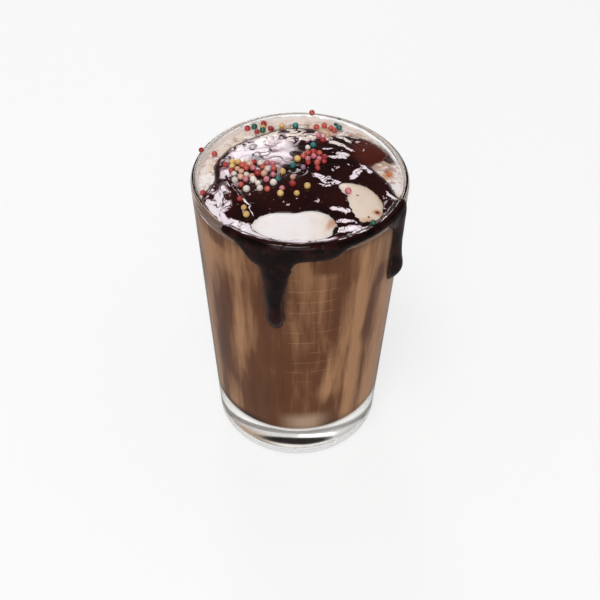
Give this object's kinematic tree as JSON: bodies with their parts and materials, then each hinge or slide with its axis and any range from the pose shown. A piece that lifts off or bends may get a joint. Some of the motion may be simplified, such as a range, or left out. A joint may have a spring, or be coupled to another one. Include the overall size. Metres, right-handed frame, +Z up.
{
  "type": "glass of chocolate lassi with cream and sauce",
  "caption": "Tapered tumbler filled to the brim with chocolate lassi under cream, with dark chocolate sauce pooled on top and dripping over the rim.",
  "frame": {"origin": "centre of the foot's underside, on the table", "axes": "+Z up along the glass's axis; -Y is the front, where the longer drip hangs; +X is the side with the second drip"},
  "size_m": [0.0758, 0.0768, 0.1202],
  "materials": {
    "glass": "clear, smooth pressed glass",
    "shake": "milky chocolate drink, opaque, with paler streaks and foam rings",
    "cream": "soft whipped cream, white to beige",
    "sauce": "very dark, wet, glossy chocolate sauce",
    "sprinkles": "small sugar pearls in mixed colours, made with the looks only"
  },
  "bodies": {
    "root": {"glass": "glass", "shake": "shake", "cream": "cream", "sauce": "sauce"}
  },
  "joints": []
}
